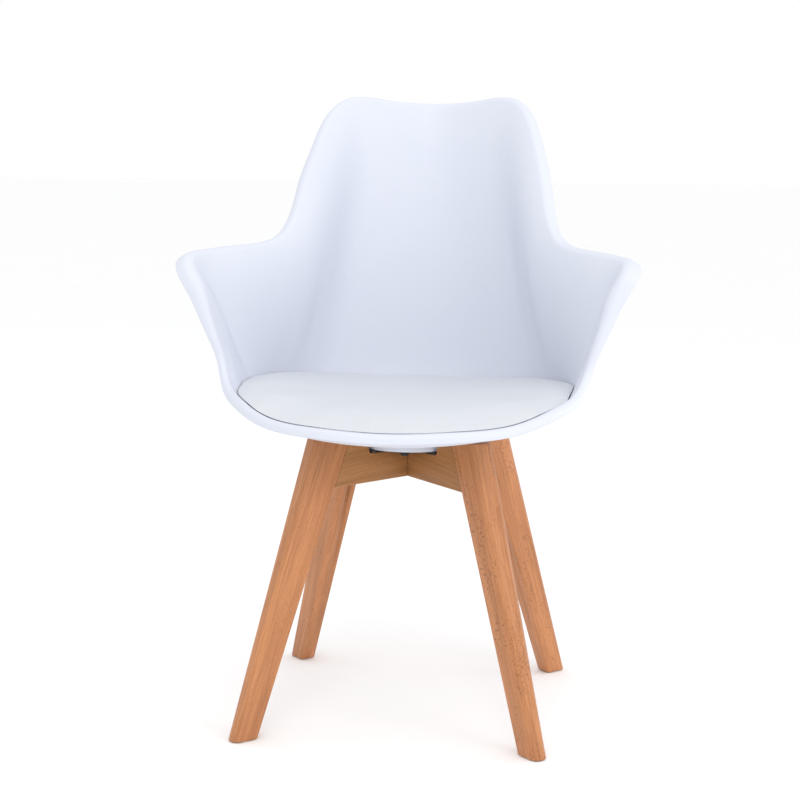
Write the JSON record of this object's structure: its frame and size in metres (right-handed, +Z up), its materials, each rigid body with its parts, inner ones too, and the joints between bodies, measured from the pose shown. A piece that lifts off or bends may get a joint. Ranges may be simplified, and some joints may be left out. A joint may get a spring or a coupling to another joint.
{
  "type": "dining armchair",
  "caption": "Dining armchair: moulded bucket shell with rolled arms and a fixed seat pad, on splayed tapered wooden legs joined by crossed rails.",
  "frame": {"origin": "on the floor, at the centre of the bottom of the whole object's box", "axes": "+Z up, +X to the sitter's left, so the chair faces -Y; the chair is mirror symmetric across X"},
  "size_m": [0.6194, 0.4737, 0.8474],
  "materials": {
    "shell_plastic": "satin white polypropylene with a very fine moulded texture",
    "pad_leather": "smooth white coated leather with a fine grain",
    "foam": "open-cell foam",
    "board": "dark moulded board",
    "beech": "satin lacquered beech",
    "dowel_beech": "raw beech",
    "black_steel": "black powder coat",
    "zinc": "bright zinc plate",
    "brass": "turned brass",
    "nylon": "natural nylon"
  },
  "bodies": {
    "root": {"bolt_washer_1": "black_steel", "bolt_washer_2": "black_steel", "bolt_washer_3": "black_steel", "bolt_washer_4": "black_steel", "cross_rail_a": "beech", "cross_rail_b": "beech", "foot_glide_front_left": "nylon", "foot_glide_front_right": "nylon", "foot_glide_rear_left": "nylon", "foot_glide_rear_right": "nylon", "leg_dowel_front_left_1": "dowel_beech", "leg_dowel_front_left_2": "dowel_beech", "leg_dowel_front_right_1": "dowel_beech", "leg_dowel_front_right_2": "dowel_beech", "leg_dowel_rear_left_1": "dowel_beech", "leg_dowel_rear_left_2": "dowel_beech", "leg_dowel_rear_right_1": "dowel_beech", "leg_dowel_rear_right_2": "dowel_beech", "leg_front_left": "beech", "leg_front_right": "beech", "leg_rear_left": "beech", "leg_rear_right": "beech", "mounting_plate": "black_steel", "pad_board": "board", "pad_cover": "pad_leather", "pad_foam": "foam", "pad_screw_1": "zinc", "pad_screw_2": "zinc", "pad_screw_3": "zinc", "pad_screw_4": "zinc", "plate_screw_1": "zinc", "plate_screw_2": "zinc", "plate_screw_3": "zinc", "plate_screw_4": "zinc", "seat_shell": "shell_plastic", "shell_bolt_1": "black_steel", "shell_bolt_2": "black_steel", "shell_bolt_3": "black_steel", "shell_bolt_4": "black_steel", "shell_insert_1": "brass", "shell_insert_2": "brass", "shell_insert_3": "brass", "shell_insert_4": "brass"}
  },
  "joints": []
}
